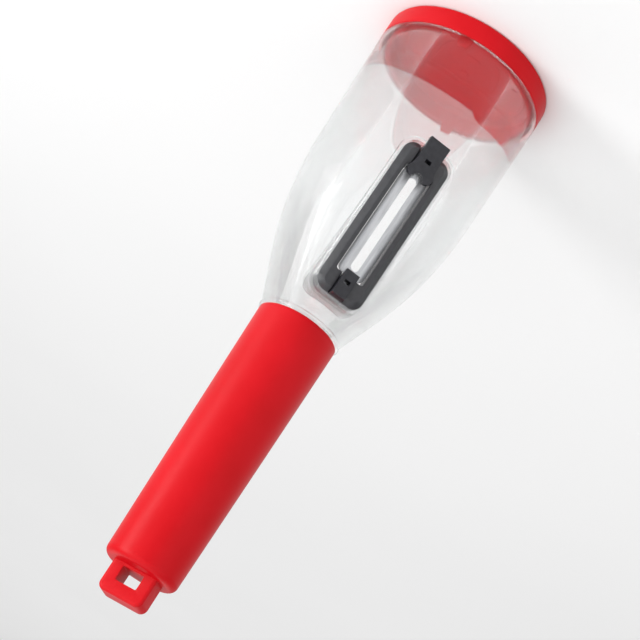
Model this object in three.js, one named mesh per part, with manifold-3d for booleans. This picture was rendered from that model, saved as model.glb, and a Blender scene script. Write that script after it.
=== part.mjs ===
// Hand peeler that catches its peelings: a clear container on a hollow handle, closed by a cap,
// with a swivelling blade in a frame on the container's shoulder.
// Millimetres, +Z up. The tool stands on its cap: the origin is the centre of the cap's flat
// outer face, +Z runs along the tool to the hang tab, and the blade faces -Y.
import * as THREE from 'three';
import { mergeVertices } from 'three/addons/utils/BufferGeometryUtils.js';
import Module from 'manifold-3d';

const wasm = await Module();
wasm.setup();

// ---------- driving dimensions ----------
const GAP = 0.3;                 // clearance between pieces that touch

const CONTAINER_R = 34.3;        // outside radius at the seam with the cap
const CONTAINER_DRAFT = 1.6;     // loss of radius from the seam to the shoulder
const CONTAINER_WALL = 2.6;
const BARREL_LENGTH = 53;        // from the seam to the start of the shoulder
const SHOULDER_LENGTH = 64.2;    // from the barrel to the neck ring
const RING_PROUD = 0.8;          // the neck ring stands out from the handle
const NECK_INSET = 0.4;          // the shoulder ends just inside the ring
const RING_HEIGHT = 1.4;
const RING_CREASE = 0.2;         // height of the step from the shoulder out to the ring
const SPIGOT_R = 13;             // the spigot plugs into the handle
const SPIGOT_LENGTH = 17.6;
const SPIGOT_WALL = 2.2;
const SPIGOT_FLOOR = 2.5;
const SPIGOT_CHAMFER = 0.8;

const CAP_HEIGHT = 8.6;
const CAP_FLOOR = 2.6;
const CAP_SKIRT = 1.3;
const CAP_FILLET = 1.3;
const PLUG_WALL = 1.4;           // ring that plugs the container's mouth
const LUG_WIDTH = 6.2;           // snap lugs on the plug
const LUG_HEIGHT = 3.4;
const LUG_TAPER = 0.62;          // tip width over root width
const LUG_BURIED = 1;            // the lugs start this deep inside the plug's ring
const LUG_INSET = 0.2;           // in from the plug's outside
const LUG_ANGLES = [112, 164, 292, 344];

const HANDLE_MID_R = 14.9;
const HANDLE_END_R = 13.9;
const HANDLE_LENGTH = 103.9;
const HANDLE_WALL = 2.5;
const HANDLE_END_WALL = 4.5;
const HANDLE_FILLET = 2.8;
const HANDLE_WALL_EXTRA = 0.6;   // beyond the socket the wall is this much thicker
const HANDLE_EDGE = 0.5;         // chamfer round the handle's neck end
const SOCKET_SPACE = 1;          // past the spigot's end

const TAB_WIDTH = 17.4;
const TAB_LENGTH = 11.2;
const TAB_BURIED = 2;            // runs this far down into the handle's end
const TAB_THICKNESS = 9;
const TAB_CORNER = 2.6;
const TAB_EDGE = 1.2;
const TAB_HOLE_WIDTH = 8.4;
const TAB_HOLE_HEIGHT = 5.4;
const TAB_HOLE_INSET = 4.9;      // from the tab's end to the near side of its hole
const TAB_ANGLE = 32;            // degrees from the blade's side round to the tab's flat side

const HEAD_INSET = 3.6;          // frame's middle, in from the container's widest radius
const HEAD_TO_RING = 3.5;          // from the frame's clear rim to the neck ring
const HEAD_TILT = 5.4;           // degrees: the blade leans in towards the neck
const FRAME_DEPTH = 6.6;
const FRAME_CORNER = 4.6;
const OPENING_CORNER = 1;
const FRAME_RAIL = 3.95;
const FRAME_BAR = 9;             // bar across each end of the frame
const RIM_WALL = 1.4;            // clear rim round the frame
const RIM_TO_AXIS = 4.7;         // the rim's walls run back this near to the tool's axis

const BLADE_WIDTH = 10.6;
const BLADE_LENGTH = 46;
const BLADE_THICKNESS = 0.6;
const BLADE_CURVE_R = 16;
const BLADE_SLOT_WIDTH = 3.4;
const BLADE_SLOT_END = 2.5;      // from the slot to each end of the blade
const BLADE_CORNER = 2.4;
const BLADE_SIDE_PLAY = 0.45;    // to the frame's rails, so that the blade can swing
const BLADE_END_PLAY = 0.5;
const PIVOT_DEPTH = 2.4;         // pivot line behind the frame's front face
const CROWN_RISE = 1.2;          // blade's crown in front of the pivot line
const TANG_WIDTH = 2;
const TANG_LENGTH = 3.4;
const PIN_R = 1.5;
const PIN_LENGTH = 6;
const PIN_SLIT_DEPTH = 2.6;

const BLOCK_PROUD = 2.4;         // both blocks stand in front of the frame's face
const UPPER_BLOCK_WIDTH = 8.4;
const UPPER_BLOCK_FLARE = 10.4;
const UPPER_BLOCK_LENGTH = 16.4;
const UPPER_BLOCK_OVERHANG = 3.6;    // past the frame's outer edge
const UPPER_FLARE_LENGTH = 7;    // the flare takes up this much of the block's end
const UPPER_FLARE_EDGE = 3;      // from the widest point to the block's end
const UPPER_FLARE_CHAMFER = [0.4, 1];
const UPPER_NOTCH_R = 2.2;
const UPPER_NOTCH_SHOULDER = 0.8;
const LOWER_BLOCK_WIDTH = 5.4;
const LOWER_BLOCK_INSET = 0.5;   // its end lies inside the frame's outer edge
const LOWER_LIP = 1.5;           // reaches over the blade's end
const POCKET_FLOOR = 1.5;
const PEEP_WIDTH = 2.4;          // small window over each pin
const PEEP_LENGTH = 1.5;
const PEEP_UPPER = 3;            // past the inner end of each pin
const PEEP_LOWER = 2.2;

const ROUND = 48;                // segments round the body
const ARC = 7;                   // segments in each rounded corner
const CUT = 5;                   // cutting bodies run this far past the faces they open
const OVERLAP = 1;               // joined bodies of one piece run this far into each other

// ---------- derived heights ----------
const seamZ = CAP_HEIGHT + GAP;
const shoulderZ = seamZ + BARREL_LENGTH;
const ringZ = shoulderZ + SHOULDER_LENGTH;
const seatZ = ringZ + RING_HEIGHT;
const handleNeckR = SPIGOT_R + GAP + HANDLE_WALL;
const ringR = handleNeckR + RING_PROUD;
const neckR = ringR - NECK_INSET;
const neckBoreR = SPIGOT_R - SPIGOT_WALL;
const handleZ = seatZ + GAP;
const handleTopZ = handleZ + HANDLE_LENGTH;
const mouthR = CONTAINER_R - CONTAINER_WALL;
const shoulderR = CONTAINER_R - CONTAINER_DRAFT;
const capInnerR = CONTAINER_R - CAP_SKIRT;
const plugR = mouthR - GAP;
const frameBack = -FRAME_DEPTH;
const pocketBack = frameBack + POCKET_FLOOR;
const openingWidth = BLADE_WIDTH + 2 * BLADE_SIDE_PLAY;
const frameWidth = openingWidth + 2 * FRAME_RAIL;
const halfOpening = BLADE_LENGTH / 2 + BLADE_END_PLAY;
const halfFrame = halfOpening + FRAME_BAR;
const rimReach = halfFrame + GAP + RIM_WALL;
const headZ = ringZ - HEAD_TO_RING - rimReach;
const headY = CONTAINER_R - HEAD_INSET;
const rimBack = RIM_TO_AXIS - headY;

// ---------- materials ----------
const red = (name) => new THREE.MeshStandardMaterial({ name, color: 0xd80f1c, roughness: 0.38 });
const black = (name) => new THREE.MeshStandardMaterial({ name, color: 0x17171a, roughness: 0.3 });
const steel = (name) => new THREE.MeshStandardMaterial(
  { name, color: 0xc9ccd0, roughness: 0.28, metalness: 1 });
const clear = (name) => new THREE.MeshStandardMaterial(
  { name, color: 0xeef4f4, roughness: 0.06, transparent: true, opacity: 0.3 });

// ---------- helpers ----------
function solidOf(geometry) {
  const bare = geometry.clone();
  bare.deleteAttribute('normal');
  bare.deleteAttribute('uv');
  const merged = mergeVertices(bare, 1e-4);
  return new wasm.Manifold(new wasm.Mesh({
    numProp: 3,
    vertProperties: Float32Array.from(merged.attributes.position.array),
    triVerts: Uint32Array.from(merged.index.array),
  }));
}

function geometryOf(solid) {
  const mesh = solid.getMesh();
  const geometry = new THREE.BufferGeometry();
  geometry.setAttribute('position', new THREE.BufferAttribute(mesh.vertProperties, 3));
  geometry.setIndex(new THREE.BufferAttribute(mesh.triVerts, 1));
  geometry.computeVertexNormals();
  return geometry;
}

// Solid of revolution about Z from [radius, height] points.
function turned(points, segments = ROUND) {
  const profile = points.map(([r, z]) => new THREE.Vector2(r, z));
  return new THREE.LatheGeometry(profile, segments).rotateX(Math.PI / 2);
}

function roundedRect(width, low, high, radius) {
  const half = width / 2;
  const shape = new THREE.Shape();
  shape.moveTo(-half + radius, low);
  shape.lineTo(half - radius, low);
  shape.absarc(half - radius, low + radius, radius, -Math.PI / 2, 0);
  shape.lineTo(half, high - radius);
  shape.absarc(half - radius, high - radius, radius, 0, Math.PI / 2);
  shape.lineTo(-half + radius, high);
  shape.absarc(-half + radius, high - radius, radius, Math.PI / 2, Math.PI);
  shape.lineTo(-half, low + radius);
  shape.absarc(-half + radius, low + radius, radius, Math.PI, Math.PI * 1.5);
  return shape;
}

// Prism of a shape drawn in X and Z, from y = -front back to y = -back.
function prism(shape, front, back, bevel = 0) {
  return new THREE.ExtrudeGeometry(shape, {
    depth: front - back - 2 * bevel,
    curveSegments: ARC,
    bevelEnabled: bevel > 0,
    bevelThickness: bevel,
    bevelSize: bevel,
    bevelOffset: -bevel,
    bevelSegments: 3,
  }).translate(0, 0, back + bevel).rotateX(Math.PI / 2);
}

function boxBetween(low, high) {
  const size = low.map((value, i) => high[i] - value);
  return new THREE.BoxGeometry(...size)
    .translate(...low.map((value, i) => value + size[i] / 2));
}

function arcPoints(cx, cz, radius, from, to, steps) {
  const points = [];
  for (let i = 0; i <= steps; i += 1) {
    const angle = THREE.MathUtils.degToRad(from + ((to - from) * i) / steps);
    points.push([cx + radius * Math.cos(angle), cz + radius * Math.sin(angle)]);
  }
  return points;
}

// S-shaped shoulder from the barrel in to the neck.
function shoulder(fromR, toR, fromZ, toZ, steps) {
  const height = toZ - fromZ;
  const curve = new THREE.CubicBezierCurve(
    new THREE.Vector2(fromR, fromZ),
    new THREE.Vector2(fromR - 0.03 * height, fromZ + 0.5 * height),
    new THREE.Vector2(toR + 0.1 * height, toZ - 0.28 * height),
    new THREE.Vector2(toR, toZ),
  );
  return curve.getPoints(steps).map((point) => [point.x, point.y]);
}

// Places a geometry drawn about the blade's middle onto the container's shoulder.
function onHead(geometry) {
  return geometry.rotateX(-THREE.MathUtils.degToRad(HEAD_TILT)).translate(0, -headY, headZ);
}

const part = new THREE.Group();

function addNode(name, geometry, material, parent = part) {
  const mesh = new THREE.Mesh(geometry, material(name));
  mesh.name = name;
  parent.add(mesh);
  return mesh;
}

// ---------- cap ----------
function makeCap() {
  const outer = arcPoints(CONTAINER_R - CAP_FILLET, CAP_FILLET, CAP_FILLET, -90, 0, 5);
  const profile = [
    [0, 0], ...outer,
    [CONTAINER_R, CAP_HEIGHT], [capInnerR, CAP_HEIGHT], [capInnerR, CAP_FLOOR],
    [plugR, CAP_FLOOR], [plugR, CAP_HEIGHT], [plugR - PLUG_WALL, CAP_HEIGHT],
    [plugR - PLUG_WALL, CAP_FLOOR], [0, CAP_FLOOR],
  ];
  let solid = solidOf(turned(profile));
  const half = LUG_WIDTH / 2;
  const foot = half * LUG_TAPER;
  const lug = new THREE.Shape([
    new THREE.Vector2(-half, -LUG_BURIED), new THREE.Vector2(half, -LUG_BURIED),
    new THREE.Vector2(foot, LUG_HEIGHT), new THREE.Vector2(-foot, LUG_HEIGHT),
  ]);
  for (const angle of LUG_ANGLES) {
    const block = prism(lug, plugR - LUG_INSET, plugR - PLUG_WALL)
      .translate(0, 0, CAP_HEIGHT).rotateZ(THREE.MathUtils.degToRad(angle + 90));
    solid = solid.add(solidOf(block));
  }
  addNode('cap', geometryOf(solid), red);
}

// ---------- container ----------
function makeContainer() {
  const rimR = capInnerR - GAP;
  const spigotTop = seatZ + SPIGOT_LENGTH;
  const floorZ = spigotTop - SPIGOT_FLOOR;
  const outer = shoulder(shoulderR, neckR, shoulderZ, ringZ, 12);
  const inner = shoulder(shoulderR - CONTAINER_WALL, neckBoreR, shoulderZ, ringZ, 12).reverse();
  const shell = turned([
    [mouthR, CAP_FLOOR + GAP], [rimR, CAP_FLOOR + GAP], [rimR, seamZ], [CONTAINER_R, seamZ],
    ...outer,
    [ringR, ringZ + RING_CREASE], [ringR, seatZ], [SPIGOT_R, seatZ],
    [SPIGOT_R, spigotTop - SPIGOT_CHAMFER], [SPIGOT_R - SPIGOT_CHAMFER, spigotTop],
    [0, spigotTop], [0, floorZ], [neckBoreR, floorZ], ...inner, [mouthR, seamZ],
    [mouthR, CAP_FLOOR + GAP],
  ]);
  const cavity = turned([
    [0, 0], [mouthR, 0], [mouthR, seamZ], ...[...inner].reverse(),
    [neckBoreR, floorZ], [0, floorZ],
  ]);
  const reach = halfFrame + GAP;
  const rimShape = roundedRect(
    frameWidth + 2 * (GAP + RIM_WALL), -reach - RIM_WALL, reach + RIM_WALL,
    FRAME_CORNER + GAP + RIM_WALL);
  const openShape = roundedRect(frameWidth + 2 * GAP, -reach, reach, FRAME_CORNER + GAP);
  const rim = solidOf(onHead(prism(rimShape, 0, rimBack)));
  const opening = solidOf(onHead(prism(openShape, CUT, rimBack)));
  const solid = solidOf(shell).add(rim.subtract(solidOf(cavity))).subtract(opening);
  addNode('container', geometryOf(solid), clear);
}

// ---------- handle with its hang tab ----------
function makeHandle() {
  const socketR = SPIGOT_R + GAP;
  const socketTop = seatZ + SPIGOT_LENGTH + SOCKET_SPACE;
  const roofZ = handleTopZ - HANDLE_END_WALL;
  const wall = HANDLE_WALL + HANDLE_WALL_EXTRA;
  const bulgeR = 2 * HANDLE_MID_R - (handleNeckR + HANDLE_END_R) / 2;
  const grip = new THREE.QuadraticBezierCurve(
    new THREE.Vector2(handleNeckR, handleZ + HANDLE_EDGE),
    new THREE.Vector2(bulgeR, handleZ + HANDLE_LENGTH / 2),
    new THREE.Vector2(HANDLE_END_R, handleTopZ - HANDLE_FILLET),
  ).getPoints(8).map((point) => [point.x, point.y]);
  const end = arcPoints(
    HANDLE_END_R - HANDLE_FILLET, handleTopZ - HANDLE_FILLET, HANDLE_FILLET, 0, 90, 6).slice(1);
  const body = turned([
    [0, roofZ], [HANDLE_END_R - wall, roofZ],
    [HANDLE_MID_R - wall, socketTop], [socketR, socketTop], [socketR, handleZ],
    [handleNeckR - HANDLE_EDGE, handleZ], ...grip, ...end, [0, handleTopZ],
  ]);
  const tabShape = roundedRect(TAB_WIDTH, -TAB_BURIED, TAB_LENGTH, TAB_CORNER);
  const tab = solidOf(prism(tabShape, TAB_THICKNESS / 2, -TAB_THICKNESS / 2, TAB_EDGE));
  const holeTop = TAB_LENGTH - TAB_HOLE_INSET;
  const hole = boxBetween(
    [-TAB_HOLE_WIDTH / 2, -TAB_THICKNESS, holeTop - TAB_HOLE_HEIGHT],
    [TAB_HOLE_WIDTH / 2, TAB_THICKNESS, holeTop]);
  const holed = tab.subtract(solidOf(hole))
    .rotate([0, 0, TAB_ANGLE]).translate([0, 0, handleTopZ]);
  addNode('handle', geometryOf(solidOf(body).add(holed)), red);
}

// ---------- blade head ----------
const head = new THREE.Group();
head.rotation.x = -THREE.MathUtils.degToRad(HEAD_TILT);
head.position.set(0, -headY, headZ);
part.add(head);

const upperBlockLow = -halfFrame - UPPER_BLOCK_OVERHANG;
const upperBlockHigh = upperBlockLow + UPPER_BLOCK_LENGTH;
const lowerBlockLow = halfOpening - LOWER_LIP;
const lowerBlockHigh = halfFrame - LOWER_BLOCK_INSET;
const pinStart = BLADE_LENGTH / 2 + TANG_LENGTH - PIN_SLIT_DEPTH + GAP;
const pinEnd = pinStart + PIN_LENGTH;
const crown = PIVOT_DEPTH - CROWN_RISE;

function makeFrame() {
  const outer = roundedRect(frameWidth, -halfFrame, halfFrame, FRAME_CORNER);
  const open = roundedRect(openingWidth, -halfOpening, halfOpening, OPENING_CORNER);
  const plate = solidOf(prism(outer, 0, frameBack));
  const window = solidOf(prism(open, CUT, frameBack - CUT));
  const pocket = (blockWidth, low, high) => {
    const half = blockWidth / 2 + GAP;
    return solidOf(boxBetween([-half, -CUT, low], [half, -pocketBack, high]));
  };
  const solid = plate.subtract(window)
    .subtract(pocket(UPPER_BLOCK_WIDTH, -halfFrame - CUT, -halfOpening + OVERLAP))
    .subtract(pocket(LOWER_BLOCK_WIDTH, halfOpening - OVERLAP, halfFrame + CUT));
  addNode('blade_frame', geometryOf(solid), black, head);
}

function pinBore(low, high) {
  return solidOf(new THREE.CylinderGeometry(PIN_R + GAP, PIN_R + GAP, high - low, 20)
    .rotateX(Math.PI / 2).translate(0, PIVOT_DEPTH, (low + high) / 2));
}

function peepHole(z) {
  const half = PEEP_WIDTH / 2;
  return solidOf(boxBetween(
    [-half, -BLOCK_PROUD - CUT, z - PEEP_LENGTH / 2],
    [half, PIVOT_DEPTH, z + PEEP_LENGTH / 2]));
}

function makeUpperBlock() {
  const half = UPPER_BLOCK_WIDTH / 2;
  const flare = UPPER_BLOCK_FLARE / 2;
  const [chamferX, chamferZ] = UPPER_FLARE_CHAMFER;
  const flareStart = upperBlockHigh - UPPER_FLARE_LENGTH;
  const flareEnd = upperBlockHigh - UPPER_FLARE_EDGE;
  const bend = (flareStart + flareEnd) / 2;
  const notchEdge = UPPER_NOTCH_R + UPPER_NOTCH_SHOULDER;
  const front = new THREE.Shape();
  front.moveTo(-half, upperBlockLow);
  front.lineTo(half, upperBlockLow);
  front.lineTo(half, flareStart);
  front.quadraticCurveTo(half, bend, flare, flareEnd);
  front.lineTo(flare - chamferX, upperBlockHigh - chamferZ);
  front.lineTo(notchEdge, upperBlockHigh);
  front.absarc(0, upperBlockHigh, UPPER_NOTCH_R, 0, -Math.PI, true);
  front.lineTo(-notchEdge, upperBlockHigh);
  front.lineTo(-flare + chamferX, upperBlockHigh - chamferZ);
  front.lineTo(-flare, flareEnd);
  front.quadraticCurveTo(-half, bend, -half, flareStart);
  const face = solidOf(prism(front, BLOCK_PROUD, GAP));
  const root = boxBetween(
    [-half, -OVERLAP, -halfFrame + GAP], [half, -pocketBack - GAP, -halfOpening]);
  const solid = face.add(solidOf(root))
    .subtract(pinBore(-pinEnd - GAP, -halfOpening + OVERLAP))
    .subtract(peepHole(-pinStart - PEEP_UPPER));
  addNode('upper_bearing_block', geometryOf(solid), black, head);
}

function makeLowerBlock() {
  const half = LOWER_BLOCK_WIDTH / 2;
  const body = boxBetween(
    [-half, -BLOCK_PROUD, halfOpening], [half, -pocketBack - GAP, lowerBlockHigh]);
  const lip = boxBetween(
    [-half, -BLOCK_PROUD, lowerBlockLow], [half, -GAP, halfOpening + OVERLAP]);
  const solid = solidOf(body).add(solidOf(lip))
    .subtract(pinBore(halfOpening - OVERLAP, pinEnd + GAP))
    .subtract(peepHole(pinStart + PEEP_LOWER));
  addNode('lower_bearing_block', geometryOf(solid), black, head);
}

// Cross-section of the bent strip, as a closed ring sector drawn in X and Y.
function bladeSection(halfWidth) {
  const centre = crown + BLADE_CURVE_R;
  const swing = Math.asin(halfWidth / BLADE_CURVE_R);
  const shape = new THREE.Shape();
  shape.absarc(0, centre, BLADE_CURVE_R, -Math.PI / 2 - swing, -Math.PI / 2 + swing, false);
  shape.absarc(0, centre, BLADE_CURVE_R - BLADE_THICKNESS,
    -Math.PI / 2 + swing, -Math.PI / 2 - swing, true);
  return shape;
}

function makeBlade() {
  const half = BLADE_LENGTH / 2;
  const strip = new THREE.ExtrudeGeometry(bladeSection(BLADE_WIDTH / 2),
    { depth: BLADE_LENGTH, curveSegments: 12, bevelEnabled: false }).translate(0, 0, -half);
  const outline = roundedRect(BLADE_WIDTH, -half, half, BLADE_CORNER);
  const slotEnd = half - BLADE_SLOT_END;
  const slot = roundedRect(BLADE_SLOT_WIDTH, -slotEnd, slotEnd, BLADE_SLOT_WIDTH * 0.49);
  const front = crown + CUT;
  const back = -PIVOT_DEPTH - FRAME_DEPTH;
  const tang = (low, high) => solidOf(boxBetween(
    [-TANG_WIDTH / 2, crown, low], [TANG_WIDTH / 2, crown + BLADE_THICKNESS, high]));
  const solid = solidOf(strip).intersect(solidOf(prism(outline, front, back)))
    .subtract(solidOf(prism(slot, front, back)))
    .add(tang(half - OVERLAP, half + TANG_LENGTH))
    .add(tang(-half - TANG_LENGTH, -half + OVERLAP));
  addNode('blade', geometryOf(solid), steel, head);
}

function makePin(name, sign) {
  const middle = sign * (pinStart + PIN_LENGTH / 2);
  const rod = new THREE.CylinderGeometry(PIN_R, PIN_R, PIN_LENGTH, 24)
    .rotateX(Math.PI / 2).translate(0, PIVOT_DEPTH, middle);
  const near = sign * (pinStart - OVERLAP);
  const deep = sign * (pinStart + PIN_SLIT_DEPTH);
  const slit = boxBetween([-2 * PIN_R, -CUT, Math.min(near, deep)],
    [2 * PIN_R, crown + BLADE_THICKNESS + GAP, Math.max(near, deep)]);
  addNode(name, geometryOf(solidOf(rod).subtract(solidOf(slit))), steel, head);
}

makeCap();
makeContainer();
makeHandle();
makeFrame();
makeUpperBlock();
makeLowerBlock();
makeBlade();
makePin('upper_pivot_pin', -1);
makePin('lower_pivot_pin', 1);

export default part;
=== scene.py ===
# A hand peeler with a clear peel container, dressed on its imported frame. Shapes are drawn in
# millimetres about the tool's axis, with the cap's flat face at zero, and scaled to metres.
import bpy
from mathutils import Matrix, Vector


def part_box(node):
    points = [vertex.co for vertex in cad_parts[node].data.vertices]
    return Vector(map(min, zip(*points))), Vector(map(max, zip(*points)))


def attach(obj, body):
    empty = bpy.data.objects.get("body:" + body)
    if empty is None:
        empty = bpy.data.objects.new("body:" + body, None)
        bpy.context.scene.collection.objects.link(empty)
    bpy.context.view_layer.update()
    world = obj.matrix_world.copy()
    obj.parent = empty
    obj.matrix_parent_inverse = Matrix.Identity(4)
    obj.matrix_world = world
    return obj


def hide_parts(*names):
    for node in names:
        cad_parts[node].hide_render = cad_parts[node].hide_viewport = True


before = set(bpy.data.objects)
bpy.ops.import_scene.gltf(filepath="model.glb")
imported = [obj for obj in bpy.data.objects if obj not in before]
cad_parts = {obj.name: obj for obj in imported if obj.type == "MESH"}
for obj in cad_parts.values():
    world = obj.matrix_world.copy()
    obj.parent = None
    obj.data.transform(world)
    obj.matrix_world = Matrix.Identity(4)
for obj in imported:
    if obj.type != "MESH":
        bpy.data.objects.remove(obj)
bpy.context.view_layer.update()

from math import asin, cos, pi, radians, sin

import bmesh
import bpy
from mathutils import Matrix, Vector

MM = 0.001


def extent(node):
    """Lowest and highest corners of a CAD node, in millimetres."""
    low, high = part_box(node)
    return [v / MM for v in low], [v / MM for v in high]


# ---------- sizes, from the frame where it has them ----------
GAP = 0.3
cap_high = extent("cap")[1]
container_high = extent("container")[1]
handle_low, handle_high = extent("handle")

BODY_R = cap_high[0]
LUG_HEIGHT = 3.4
LUG_HALF_WIDTH, LUG_BURIED = 3.1, 1.0
LUG_ANGLES = (112, 164, 292, 344)
CAP_HEIGHT = cap_high[2] - LUG_HEIGHT
CAP_FLOOR = 2.6
CAP_SKIRT = 1.3
CAP_EDGE = 1.3
PLUG_WALL, PLUG_FILLET = 1.4, 0.6
INNER_RIDGE = (25.2, 25.5, 26.3, 26.6)     # radii of the low ridge on the cap's inner face
RIDGE_HEIGHT = 0.35
CENTRE_BOSS = (1.8, 2)
CENTRE_BOSS_HEIGHT = 0.3
MARK_R, MARK_DEPTH, MARK_PLACE_R = 1.7, 0.3, 22.4
MARK_ANGLES = (40, 130, 220, 310)
SEAM_Z = CAP_HEIGHT + GAP
WALL = 2.6
DRAFT = 1.6
BARREL = 53
SHOULDER_Z = SEAM_Z + BARREL
SHOULDER = 64.2
NECK_R = 16.2
BORE_R = 10.8
RING_Z = SHOULDER_Z + SHOULDER
RING_R = 16.6
RING_CREASE, RING_EDGE = 0.35, 0.5
SEAT_Z = RING_Z + 1.4
SPIGOT_R = 13
SPIGOT_TOP = container_high[2]
SPIGOT_FLOOR = 2.5
SPIGOT_CHAMFER, BORE_CHAMFER = 0.8, 1
HANDLE_Z = handle_low[2]
TAB_LENGTH = 11.2
HANDLE_TOP = handle_high[2] - TAB_LENGTH
HANDLE_RADII = (15.8, 14.9, 13.9)
HANDLE_FILLET = 2.8
HANDLE_EDGE = 0.6
HANDLE_WALL, HANDLE_ROOF, ROOF_CHAMFER = 3.1, 4.5, 1
SOCKET_DEPTH = 18.3
TAB_WIDTH, TAB_DEPTH = 17.4, 9
TAB_CORNER, TAB_EDGE, TAB_BURIED = 2.6, 1.2, 3
TAB_HOLE = (8.4, 5.4)
TAB_HOLE_CORNER = 0.5
TAB_HOLE_INSET = 4.9
TAB_ANGLE = radians(32)

HEAD_Y, HEAD_Z, HEAD_TILT = 30.7, 88.4, radians(5.4)
FRAME_WIDTH, FRAME_LENGTH, FRAME_DEPTH = 19.4, 65, 6.6
FRAME_CORNER, FRAME_RAIL = 4.6, 3.95
ROOF_INSET, ROOF_DROP = 2.4, 2.0
OPENING, OPENING_CORNER = 47, 1
RIM_WALL, RIM_REACH = 1.4, 26
BLADE_WIDTH, BLADE_LENGTH, BLADE_THICKNESS = 10.6, 46, 0.6
BLADE_CURVE, BLADE_CORNER = 16, 2.4
SLOT_WIDTH, SLOT_LENGTH = 3.4, 41
PIVOT_DEPTH, CROWN_RISE = 2.4, 1.2
CROWN = PIVOT_DEPTH - CROWN_RISE
PIN_R, PIN_LENGTH, PIN_SLIT = 1.5, 6, 2.6
TANG_WIDTH, TANG_LENGTH, TANG_BURIED = 2, 3.4, 1
PIN_START = BLADE_LENGTH / 2 + TANG_LENGTH - PIN_SLIT + GAP
PROUD = 2.4
POCKET_BACK = FRAME_DEPTH - 1.5
UPPER_WIDTH, UPPER_LENGTH, UPPER_OVERHANG = 8.4, 16.4, 3.6
UPPER_FLARE, NOTCH_R, NOTCH_SHOULDER = 10.4, 2.2, 0.8
LOWER_WIDTH, LOWER_INSET, LOWER_LIP = 5.4, 0.5, 1.5
PEEP_HALF = (1.2, 0.75)
UPPER_PEEP, LOWER_PEEP = 3, 2.2            # from the pins' inner ends

HEAD = (Matrix.Translation((0, -HEAD_Y, HEAD_Z)) @ Matrix.Rotation(-HEAD_TILT, 4, "X"))
ROUND = 160
SHARP = 32
CUT = 5                                    # how far a cutting tool stands past what it cuts


# ---------- mesh helpers ----------
def smooth(piece, sharp):
    piece.data.polygons.foreach_set("use_smooth", [True] * len(piece.data.polygons))
    piece.data.set_sharp_from_angle(angle=radians(sharp))


def mesh_object(name, bm):
    mesh = bpy.data.meshes.new(name)
    bmesh.ops.recalc_face_normals(bm, faces=bm.faces)
    bm.to_mesh(mesh)
    bm.free()
    piece = bpy.data.objects.new(name, mesh)
    bpy.context.scene.collection.objects.link(piece)
    smooth(piece, SHARP)
    return piece


def turned(name, profile, segments=ROUND, closed=False):
    """Solid of revolution about Z from (radius, height) points; closed joins the ends."""
    bm = bmesh.new()
    rings = []
    for radius, height in profile:
        if radius < 1e-6:
            rings.append([bm.verts.new((0, 0, height))])
            continue
        ring = []
        for i in range(segments):
            angle = 2 * pi * i / segments
            ring.append(bm.verts.new((radius * cos(angle), radius * sin(angle), height)))
        rings.append(ring)
    pairs = list(zip(rings, rings[1:] + rings[:1])) if closed else list(zip(rings, rings[1:]))
    for low, high in pairs:
        for i in range(segments):
            j = (i + 1) % segments
            around = (low[i % len(low)], low[j % len(low)], high[j % len(high)], high[i % len(high)])
            corners = list(dict.fromkeys(around))
            if len(corners) > 2:
                bm.faces.new(corners)
    return mesh_object(name, bm)


def arc(cx, cz, radius, start, end, steps):
    points = []
    for i in range(steps + 1):
        angle = radians(start + (end - start) * i / steps)
        points.append((cx + radius * cos(angle), cz + radius * sin(angle)))
    return points


def straight(start, end, steps):
    """Points between start and end, without the ends."""
    return [tuple(start[k] + (end[k] - start[k]) * i / steps for k in (0, 1))
            for i in range(1, steps)]


def rounded_rect(width, low, high, radius, steps):
    half = width / 2
    return (arc(half - radius, low + radius, radius, -90, 0, steps)
            + arc(half - radius, high - radius, radius, 0, 90, steps)
            + arc(-half + radius, high - radius, radius, 90, 180, steps)
            + arc(-half + radius, low + radius, radius, 180, 270, steps))


def prism(name, outline, front, back):
    """Prism of an (x, z) outline between y = front and y = back."""
    bm = bmesh.new()
    near = [bm.verts.new((x, front, z)) for x, z in outline]
    far = [bm.verts.new((x, back, z)) for x, z in outline]
    bm.faces.new(near)
    bm.faces.new(far[::-1])
    for i in range(len(outline)):
        j = (i + 1) % len(outline)
        bm.faces.new((near[j], near[i], far[i], far[j]))
    return mesh_object(name, bm)


def cylinder(name, radius, low, high, segments):
    return turned(name, [(0, low), (radius, low), (radius, high), (0, high)], segments)


def box(name, low, high):
    outline = [(low[0], low[2]), (high[0], low[2]), (high[0], high[2]), (low[0], high[2])]
    return prism(name, outline, low[1], high[1])


def place(piece, matrix):
    piece.data.transform(matrix)
    return piece


def settle(piece, modifier):
    """Turns the modifier's result into the piece's own mesh."""
    graph = bpy.context.evaluated_depsgraph_get()
    mesh = bpy.data.meshes.new_from_object(piece.evaluated_get(graph), depsgraph=graph)
    old = piece.data
    piece.modifiers.remove(modifier)
    piece.data = mesh
    bpy.data.meshes.remove(old)


def combine(piece, other, operation):
    modifier = piece.modifiers.new(operation, "BOOLEAN")
    modifier.operation = operation
    modifier.solver = "EXACT"
    modifier.object = other
    settle(piece, modifier)
    mesh = other.data
    bpy.data.objects.remove(other)
    bpy.data.meshes.remove(mesh)
    return piece


def cut(piece, *tools):
    for tool in tools:
        combine(piece, tool, "DIFFERENCE")
    return piece


def join(piece, *others):
    for other in others:
        combine(piece, other, "UNION")
    return piece


def tidy_mesh(piece):
    bm = bmesh.new()
    bm.from_mesh(piece.data)
    bmesh.ops.remove_doubles(bm, verts=bm.verts, dist=0.004)
    bmesh.ops.dissolve_degenerate(bm, dist=0.003, edges=bm.edges)
    bm.to_mesh(piece.data)
    bm.free()


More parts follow.
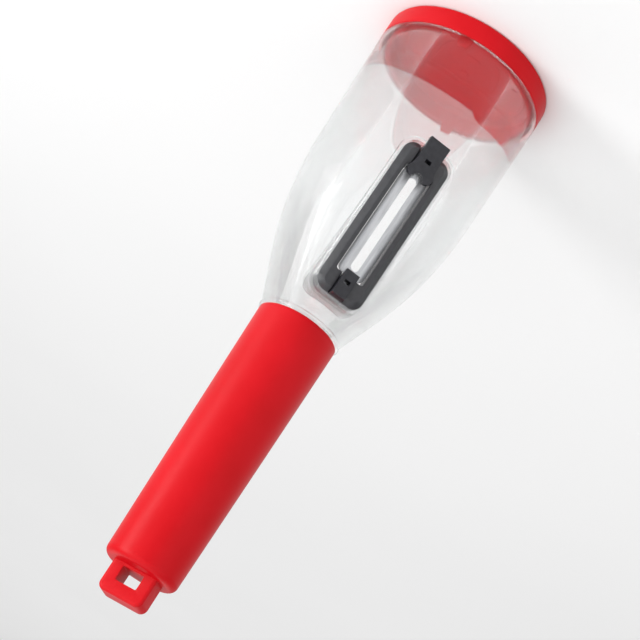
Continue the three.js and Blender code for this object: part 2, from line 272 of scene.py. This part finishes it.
def soften(piece, width, segments, angle, sharp):
    """Rounds the piece's edges that are sharper than angle."""
    tidy_mesh(piece)
    modifier = piece.modifiers.new("soft edges", "BEVEL")
    modifier.width = width
    modifier.segments = segments
    modifier.limit_method = "ANGLE"
    modifier.angle_limit = radians(angle)
    modifier.use_clamp_overlap = True
    settle(piece, modifier)
    smooth(piece, sharp)
    return piece


def finish_piece(piece, body, slot, material, *nodes):
    piece.data.transform(Matrix.Scale(MM, 4))
    piece.data.materials.clear()
    piece.data.materials.append(material)
    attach(piece, body)
    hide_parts(*nodes)


# ---------- materials ----------
def new_material(name, **values):
    material = bpy.data.materials.new(name)
    material.use_nodes = True
    nodes = material.node_tree.nodes
    shader = nodes["Principled BSDF"]
    for socket, value in values.items():
        shader.inputs[socket.replace("_", " ")].default_value = value
    return material, nodes, material.node_tree.links, shader


def noise(nodes, links, scale, detail=2, stretch=None):
    coords = nodes.new("ShaderNodeTexCoord")
    mapping = nodes.new("ShaderNodeMapping")
    if stretch:
        mapping.inputs["Scale"].default_value = stretch
    texture = nodes.new("ShaderNodeTexNoise")
    texture.inputs["Scale"].default_value = scale
    texture.inputs["Detail"].default_value = detail
    links.new(coords.outputs["Object"], mapping.inputs["Vector"])
    links.new(mapping.outputs["Vector"], texture.inputs["Vector"])
    return texture.outputs["Fac"]


def bump(nodes, links, shader, height, strength, distance):
    node = nodes.new("ShaderNodeBump")
    node.inputs["Strength"].default_value = strength
    node.inputs["Distance"].default_value = distance
    links.new(height, node.inputs["Height"])
    links.new(node.outputs["Normal"], shader.inputs["Normal"])


def vary(nodes, links, shader, socket, source, low, high):
    node = nodes.new("ShaderNodeMapRange")
    node.inputs["To Min"].default_value = low
    node.inputs["To Max"].default_value = high
    links.new(source, node.inputs["Value"])
    links.new(node.outputs["Result"], shader.inputs[socket])


def tint(nodes, links, shader, source, dark, light):
    ramp = nodes.new("ShaderNodeValToRGB")
    ramp.color_ramp.elements[0].color = (*dark, 1)
    ramp.color_ramp.elements[0].position = 0.3
    ramp.color_ramp.elements[1].color = (*light, 1)
    ramp.color_ramp.elements[1].position = 0.7
    links.new(source, ramp.inputs["Fac"])
    links.new(ramp.outputs["Color"], shader.inputs["Base Color"])


def red_plastic():
    material, nodes, links, shader = new_material(
        "satin red plastic", IOR=1.5, Specular_IOR_Level=0.18)
    cloud = noise(nodes, links, 45)
    tint(nodes, links, shader, cloud, (0.54, 0.0, 0.004), (0.59, 0.001, 0.007))
    vary(nodes, links, shader, "Roughness", cloud, 0.36, 0.44)
    bump(nodes, links, shader, noise(nodes, links, 2600, 3), 0.12, 0.0001)
    return material


def clear_plastic():
    """Glassy, with an Alpha below 1 so that the lights reach what is inside."""
    material, nodes, links, shader = new_material(
        "clear polystyrene", Transmission_Weight=1.0, IOR=1.49, Specular_IOR_Level=0.3, Alpha=0.45)
    cloud = noise(nodes, links, 60)
    # Painted edge shade: the Layer Weight's facing turns the base colour darker and greener towards the
    # silhouettes.
    painted_edge_shade = nodes.new("ShaderNodeLayerWeight")
    painted_edge_shade.inputs["Blend"].default_value = 0.3
    tint(nodes, links, shader, painted_edge_shade.outputs["Facing"], (0.950, 0.970, 0.970), (0.46, 0.54, 0.54))
    vary(nodes, links, shader, "Roughness", cloud, 0.0, 0.035)
    return material


def black_plastic(name, low, high, **values):
    material, nodes, links, shader = new_material(name, IOR=1.5, **values)
    grain = noise(nodes, links, 500, 3)
    tint(nodes, links, shader, grain, (0.009, 0.009, 0.013), (0.020, 0.020, 0.026))
    vary(nodes, links, shader, "Roughness", grain, low, high)
    bump(nodes, links, shader, noise(nodes, links, 3000, 2), 0.08, 0.0001)
    return material


def brushed(name, roughness, metallic):
    material, nodes, links, shader = new_material(name, Metallic=metallic)
    lines = noise(nodes, links, 900, 4, (1, 1, 0.03))
    tint(nodes, links, shader, lines, (0.50, 0.51, 0.53), (0.68, 0.69, 0.71))
    vary(nodes, links, shader, "Roughness", lines, roughness - 0.06, roughness + 0.08)
    bump(nodes, links, shader, lines, 0.15, 0.00005)
    return material


RED = red_plastic()
CLEAR = clear_plastic()
BLACK_GLOSS = black_plastic("gloss black plastic", 0.34, 0.44, Specular_IOR_Level=0.8)
BLACK_SATIN = black_plastic("satin black plastic", 0.34, 0.46)
STEEL = brushed("satin blade steel", 0.46, 0.75)
PIN_STEEL = brushed("pin steel", 0.22, 1)


# ---------- cap ----------
def make_cap():
    inner = BODY_R - CAP_SKIRT
    plug = BODY_R - WALL - GAP
    plug_in = plug - PLUG_WALL
    soft = 0.25
    ridge, boss = CAP_FLOOR + RIDGE_HEIGHT, CAP_FLOOR + CENTRE_BOSS_HEIGHT
    ridge_in, ridge_top_in, ridge_top_out, ridge_out = INNER_RIDGE
    profile = (
        [(0, 0)] + arc(BODY_R - CAP_EDGE, CAP_EDGE, CAP_EDGE, -90, 0, 8)
        + arc(BODY_R - soft, CAP_HEIGHT - soft, soft, 0, 90, 3)
        + arc(inner + soft, CAP_HEIGHT - soft, soft, 90, 180, 3)
        + [(inner, CAP_FLOOR), (plug, CAP_FLOOR)]
        + arc(plug - soft, CAP_HEIGHT - soft, soft, 0, 90, 3)
        + arc(plug_in + soft, CAP_HEIGHT - soft, soft, 90, 180, 3)
        + arc(plug_in - PLUG_FILLET, CAP_FLOOR + PLUG_FILLET, PLUG_FILLET, 0, -90, 4)
        + [(ridge_out, CAP_FLOOR), (ridge_top_out, ridge), (ridge_top_in, ridge), (ridge_in, CAP_FLOOR),
           (CENTRE_BOSS[1], CAP_FLOOR), (CENTRE_BOSS[0], boss), (0, boss)])
    cap = turned("cap_moulding", profile)
    half = LUG_HALF_WIDTH
    right = [(half, -LUG_BURIED), (half * 0.66, LUG_HEIGHT - 0.4), (half * 0.5, LUG_HEIGHT - 0.02)]
    lug = [(-half, -LUG_BURIED)] + right + [(-x, z) for x, z in right[:0:-1]]
    for angle in LUG_ANGLES:
        block = prism("lug", lug, -plug + 0.2, -plug_in)
        turn = Matrix.Rotation(radians(angle + 90), 4, "Z")
        join(cap, place(block, turn @ Matrix.Translation((0, 0, CAP_HEIGHT))))
    for angle in MARK_ANGLES:
        mark = cylinder("mark", MARK_R, CAP_FLOOR - MARK_DEPTH, CAP_FLOOR + 1, 48)
        spot = Matrix.Rotation(radians(angle), 4, "Z") @ Matrix.Translation((MARK_PLACE_R, 0, 0))
        cut(cap, place(mark, spot))
    smooth(cap, 40)
    finish_piece(cap, "cap", "red_cap", RED, "cap")


# ---------- container ----------
def bezier(a, b, c, d, steps):
    points = []
    for i in range(steps + 1):
        t = i / steps
        s = 1 - t
        points.append(tuple(
            s ** 3 * a[k] + 3 * s * s * t * b[k] + 3 * s * t * t * c[k] + t ** 3 * d[k]
            for k in (0, 1)))
    return points


def shoulder(from_r, to_r):
    """The S-shaped wall from the barrel's end to the neck."""
    return bezier(
        (from_r, SHOULDER_Z), (from_r - 0.03 * SHOULDER, SHOULDER_Z + 0.5 * SHOULDER),
        (to_r + 0.1 * SHOULDER, RING_Z - 0.28 * SHOULDER), (to_r, RING_Z), 44)


def make_container():
    mouth = BODY_R - WALL
    rim_r = BODY_R - CAP_SKIRT - GAP
    low = CAP_FLOOR + GAP
    outer = shoulder(BODY_R - DRAFT, NECK_R)
    inner = shoulder(BODY_R - DRAFT - WALL, BORE_R)[::-1]
    floor_z = SPIGOT_TOP - SPIGOT_FLOOR
    soft = 0.3
    bore = [(BORE_R, floor_z - BORE_CHAMFER), (BORE_R - BORE_CHAMFER, floor_z), (0, floor_z)]
    shell = turned("container_moulding", (
        arc(mouth + soft, low + soft, soft, 180, 270, 3)
        + arc(rim_r - soft, low + soft, soft, 270, 360, 3)
        + [(rim_r, SEAM_Z)] + arc(BODY_R - soft, SEAM_Z + soft, soft, 270, 360, 3)
        + straight((BODY_R, SEAM_Z + soft), outer[0], 18) + outer
        + arc(RING_R - soft, RING_Z + RING_CREASE + soft, soft, -60, 0, 2)
        + arc(RING_R - RING_EDGE, SEAT_Z - RING_EDGE, RING_EDGE, 0, 90, 4)
        + [(SPIGOT_R, SEAT_Z), (SPIGOT_R, SPIGOT_TOP - SPIGOT_CHAMFER),
           (SPIGOT_R - SPIGOT_CHAMFER, SPIGOT_TOP), (0, SPIGOT_TOP)]
        + bore[::-1] + inner
        + straight(inner[-1], (mouth, SEAM_Z), 18) + [(mouth, SEAM_Z)]), closed=True)
    cavity = turned("cavity", [(0, -1), (mouth, -1), (mouth, SEAM_Z)] + inner[::-1] + bore)
    reach = FRAME_LENGTH / 2 + GAP
    wide = FRAME_WIDTH + 2 * (GAP + RIM_WALL)
    rim = prism("rim", rounded_rect(wide, -reach - RIM_WALL, reach + RIM_WALL,
                                    FRAME_CORNER + GAP + RIM_WALL, 14), 0, RIM_REACH)
    rim = cut(place(rim, HEAD), cavity)
    outline = rounded_rect(FRAME_WIDTH + 2 * GAP, -reach, reach, FRAME_CORNER + GAP, 14)
    hole = prism("opening", outline, -10, RIM_REACH + 1)
    join(shell, rim)
    cut(shell, place(hole, HEAD))
    soften(shell, 0.35, 3, 38, 40)
    finish_piece(shell, "container", "clear_container", CLEAR, "container")


# ---------- handle ----------
def make_handle():
    neck, middle, end = HANDLE_RADII
    socket = SPIGOT_R + GAP
    roof = HANDLE_TOP - HANDLE_ROOF
    socket_end = HANDLE_Z + SOCKET_DEPTH
    bulge = 2 * middle - (neck + end) / 2
    grip, steps = [], 30
    low, high = HANDLE_Z + HANDLE_EDGE, HANDLE_TOP - HANDLE_FILLET
    for i in range(steps + 1):
        t = i / steps
        radius = (1 - t) ** 2 * neck + 2 * t * (1 - t) * bulge + t * t * end
        grip.append((radius, low + (high - low) * t))
    body = turned("handle_moulding", (
        [(0, roof), (end - HANDLE_WALL - ROOF_CHAMFER, roof), (end - HANDLE_WALL, roof - ROOF_CHAMFER),
         (middle - HANDLE_WALL, socket_end), (socket, socket_end), (socket, HANDLE_Z)]
        + arc(neck - HANDLE_EDGE, low, HANDLE_EDGE, -90, 0, 5) + grip[1:]
        + arc(end - HANDLE_FILLET, high, HANDLE_FILLET, 0, 90, 12)[1:] + [(0, HANDLE_TOP)]))
    half = TAB_DEPTH / 2
    tab = prism("tab", rounded_rect(TAB_WIDTH, -TAB_BURIED, TAB_LENGTH, TAB_CORNER, 10), -half, half)
    soften(tab, TAB_EDGE, 6, 35, 60)
    hole_top = TAB_LENGTH - TAB_HOLE_INSET
    wide, tall = TAB_HOLE
    outline = rounded_rect(wide, hole_top - tall, hole_top, TAB_HOLE_CORNER, 4)
    cut(tab, prism("hole", outline, -TAB_DEPTH, TAB_DEPTH))
    turn = Matrix.Translation((0, 0, HANDLE_TOP)) @ Matrix.Rotation(TAB_ANGLE, 4, "Z")
    join(body, place(tab, turn))
    soften(body, 0.4, 3, 42, 60)
    finish_piece(body, "handle", "red_handle", RED, "handle")


# ---------- blade head ----------
half_frame = FRAME_LENGTH / 2
half_opening = OPENING / 2
upper_low = -half_frame - UPPER_OVERHANG
upper_high = upper_low + UPPER_LENGTH
lower_low = half_opening - LOWER_LIP
lower_high = half_frame - LOWER_INSET


def roofed_prism(name, width, half_length, corner, depth):
    """Rounded plate whose front slopes back all round, from a ridge to its outer edge."""
    outer = rounded_rect(width, -half_length, half_length, corner, 12)
    ridge_end = half_length - ROOF_INSET
    ridge = rounded_rect(width - 2 * ROOF_INSET, -ridge_end, ridge_end, corner - ROOF_INSET, 12)
    bm = bmesh.new()
    loops = [[bm.verts.new((x, y, z)) for x, z in outline]
             for outline, y in ((ridge, 0), (outer, ROOF_DROP), (outer, depth))]
    bm.faces.new(loops[0])
    bm.faces.new(loops[2][::-1])
    for near, far in zip(loops, loops[1:]):
        for i in range(len(near)):
            j = (i + 1) % len(near)
            bm.faces.new((near[j], near[i], far[i], far[j]))
    return mesh_object(name, bm)


def make_frame():
    piece = roofed_prism("blade_frame_moulding", FRAME_WIDTH, half_frame, FRAME_CORNER, FRAME_DEPTH)
    wide = FRAME_WIDTH - 2 * FRAME_RAIL
    outline = rounded_rect(wide, -half_opening, half_opening, OPENING_CORNER, 6)
    cut(piece, prism("open", outline, -CUT, FRAME_DEPTH + CUT))
    upper, lower = UPPER_WIDTH / 2 + GAP, LOWER_WIDTH / 2 + GAP
    cut(piece,
        box("pocket", (-upper, -CUT, -half_frame - CUT), (upper, POCKET_BACK, -half_opening + 3)),
        box("pocket", (-lower, -CUT, half_opening - 3), (lower, POCKET_BACK, half_frame + CUT)))
    soften(piece, 0.45, 4, 35, 50)
    place(piece, HEAD)
    finish_piece(piece, "container", "black_frame", BLACK_GLOSS, "blade_frame")


def pin_bore(low, high):
    bore = cylinder("bore", PIN_R + GAP, low, high, 40)
    return place(bore, Matrix.Translation((0, PIVOT_DEPTH, 0)))


def peep_hole(height):
    """The small window in a block's front, over its pin."""
    wide, tall = PEEP_HALF
    return box("peep", (-wide, -PROUD - 2, height - tall), (wide, PIVOT_DEPTH, height + tall))


def make_upper_block():
    half, flare = UPPER_WIDTH / 2, UPPER_FLARE / 2
    right = [(half, upper_low), (half, upper_high - 7), (half + 0.12, upper_high - 5.6),
             (half + 0.45, upper_high - 4.2), (flare, upper_high - 3), (flare - 0.1, upper_high - 1.9),
             (flare - 0.4, upper_high - 1), (flare - 0.9, upper_high - 0.3),
             (NOTCH_R + NOTCH_SHOULDER, upper_high)]
    notch = arc(0, upper_high, NOTCH_R, 0, -180, 18)
    left = [(-x, z) for x, z in reversed(right)]
    piece = prism("upper_block_moulding", right + notch + left, -PROUD, -GAP)
    join(piece, box("root", (-half, -1, -half_frame + GAP), (half, POCKET_BACK - GAP, -half_opening)))
    cut(piece, pin_bore(-PIN_START - PIN_LENGTH - GAP, -half_opening + 1),
        peep_hole(-PIN_START - UPPER_PEEP))
    soften(piece, 0.3, 3, 35, 50)
    place(piece, HEAD)
    finish_piece(piece, "container", "black_blocks", BLACK_SATIN, "upper_bearing_block")


def make_lower_block():
    half = LOWER_WIDTH / 2
    piece = box("lower_block_moulding", (-half, -PROUD, half_opening), (half, POCKET_BACK - GAP, lower_high))
    join(piece, box("lip", (-half, -PROUD, lower_low), (half, -GAP, half_opening + 1)))
    cut(piece, pin_bore(half_opening - 1, PIN_START + PIN_LENGTH + GAP),
        peep_hole(PIN_START + LOWER_PEEP))
    soften(piece, 0.3, 3, 35, 50)
    place(piece, HEAD)
    finish_piece(piece, "container", "black_blocks", BLACK_SATIN, "lower_bearing_block")


def make_blade():
    half = BLADE_LENGTH / 2
    centre = CROWN + BLADE_CURVE
    swing = asin(BLADE_WIDTH / 2 / BLADE_CURVE)
    section, steps = [], 36
    for radius, sign in ((BLADE_CURVE, 1), (BLADE_CURVE - BLADE_THICKNESS, -1)):
        for i in range(steps + 1):
            angle = sign * swing * (2 * i / steps - 1)
            section.append((radius * sin(angle), centre - radius * cos(angle)))
    bm = bmesh.new()
    low = [bm.verts.new((x, y, -half)) for x, y in section]
    high = [bm.verts.new((x, y, half)) for x, y in section]
    bm.faces.new(low)
    bm.faces.new(high[::-1])
    for i in range(len(section)):
        j = (i + 1) % len(section)
        bm.faces.new((low[i], low[j], high[j], high[i]))
    blade = mesh_object("blade_strip", bm)
    outline = rounded_rect(BLADE_WIDTH, -half, half, BLADE_CORNER, 10)
    combine(blade, prism("outline", outline, -CUT, 15), "INTERSECT")
    slot_end = SLOT_LENGTH / 2
    outline = rounded_rect(SLOT_WIDTH, -slot_end, slot_end, SLOT_WIDTH / 2 - 0.01, 12)
    cut(blade, prism("slot", outline, -CUT, 15))
    near, far = half - TANG_BURIED, half + TANG_LENGTH
    for low_z, high_z in ((near, far), (-far, -near)):
        join(blade, box("tang", (-TANG_WIDTH / 2, CROWN, low_z),
                        (TANG_WIDTH / 2, CROWN + BLADE_THICKNESS, high_z)))
    soften(blade, 0.14, 2, 40, 50)
    place(blade, HEAD)
    finish_piece(blade, "blade", "blade_steel", STEEL, "blade")


def make_pin(name, node, sign):
    near, far = sign * PIN_START, sign * (PIN_START + PIN_LENGTH)
    low, high = min(near, far), max(near, far)
    piece = place(cylinder(name, PIN_R, low, high, 40), Matrix.Translation((0, PIVOT_DEPTH, 0)))
    a, b = sign * (PIN_START - 1), sign * (PIN_START + PIN_SLIT)
    cut(piece, box("slit", (-4, -8, min(a, b)), (4, CROWN + BLADE_THICKNESS + GAP, max(a, b))))
    soften(piece, 0.15, 2, 35, 50)
    place(piece, HEAD)
    finish_piece(piece, "blade", "pin_steel", PIN_STEEL, node)


make_cap()
make_container()
make_handle()
make_frame()
make_upper_block()
make_lower_block()
make_blade()
make_pin("upper_pin_rod", "upper_pivot_pin", -1)
make_pin("lower_pin_rod", "lower_pivot_pin", 1)


# ---------- floor, camera and lights ----------
def make_floor():
    bpy.ops.mesh.primitive_plane_add(size=12, location=(0, 0, 0))
    floor = bpy.context.object
    floor.name = "studio_floor"
    material, nodes, links, shader = new_material("pale floor", Roughness=0.7)
    cloud = noise(nodes, links, 3)
    tint(nodes, links, shader, cloud, (0.86, 0.86, 0.86), (0.88, 0.88, 0.88))
    floor.data.materials.append(material)


AZIMUTH = radians(10.5)          # the camera stands this far round from the blade's side
DISTANCE, HEIGHT, LENS = 0.551, 0.336, 92.9
LOOK_DOWN = radians(21.4)
LOOK_ASIDE = radians(0.48)
ROLL = radians(180 + 33.1)       # the tool is pictured with its handle at the lower left


def camera_axes():
    """Right, up and forward of the camera."""
    turn = Matrix.Rotation(AZIMUTH, 3, "Z")
    ahead = turn @ Vector((0, cos(LOOK_DOWN), -sin(LOOK_DOWN)))
    side = turn @ Vector((1, 0, 0))
    ahead, side = (ahead * cos(LOOK_ASIDE) - side * sin(LOOK_ASIDE),
                   side * cos(LOOK_ASIDE) + ahead * sin(LOOK_ASIDE))
    top = side.cross(ahead)
    right = side * cos(ROLL) + top * sin(ROLL)
    up = top * cos(ROLL) - side * sin(ROLL)
    return right, up, ahead


def make_camera():
    right, up, ahead = camera_axes()
    data = bpy.data.cameras.new("camera")
    data.lens = LENS
    camera = bpy.data.objects.new("camera", data)
    bpy.context.scene.collection.objects.link(camera)
    place_at = Vector((DISTANCE * sin(AZIMUTH), -DISTANCE * cos(AZIMUTH), HEIGHT))
    rotation = Matrix((right, up, -ahead)).transposed()
    camera.matrix_world = Matrix.Translation(place_at) @ rotation.to_4x4()
    bpy.context.scene.camera = camera


def make_light(name, place_at, target, size, power):
    data = bpy.data.lights.new(name, "AREA")
    data.shape = "RECTANGLE"
    data.size, data.size_y = size
    data.energy = power
    light = bpy.data.objects.new(name, data)
    light.location = place_at
    light.rotation_euler = (Vector(target) - Vector(place_at)).to_track_quat("-Z", "Y").to_euler()
    bpy.context.scene.collection.objects.link(light)


def ring_place(azimuth, radius, height):
    """A place round the tool; azimuth 0 is the blade's side and 90 degrees is +X."""
    angle = radians(azimuth)
    return radius * sin(angle), -radius * cos(angle), height


def make_lights():
    world = bpy.data.worlds.new("studio")
    bpy.context.scene.world = world
    world.use_nodes = True
    background = world.node_tree.nodes["Background"]
    background.inputs["Color"].default_value = (1, 1, 1, 1)
    background.inputs["Strength"].default_value = 0.42
    middle = (0, 0, 0.12)
    make_light("key softbox", ring_place(82, 0.8, 0.32), middle, (0.3, 0.8), 5)
    make_light("front softbox", ring_place(48, 1.2, 0.8), middle, (1.5, 1.5), 7.5)
    make_light("fill softbox", ring_place(-30, 1.3, 0.7), middle, (1.5, 1.5), 5)
    make_light("overhead softbox", (0.1, -0.15, 1.3), middle, (1.2, 1.2), 4)
    make_light("far softbox", (-0.2, 1.9, 1.5), (-0.2, 1.9, 0), (2.4, 2.4), 18)


make_floor()
make_camera()
make_lights()
bpy.context.scene.view_settings.view_transform = "Standard"
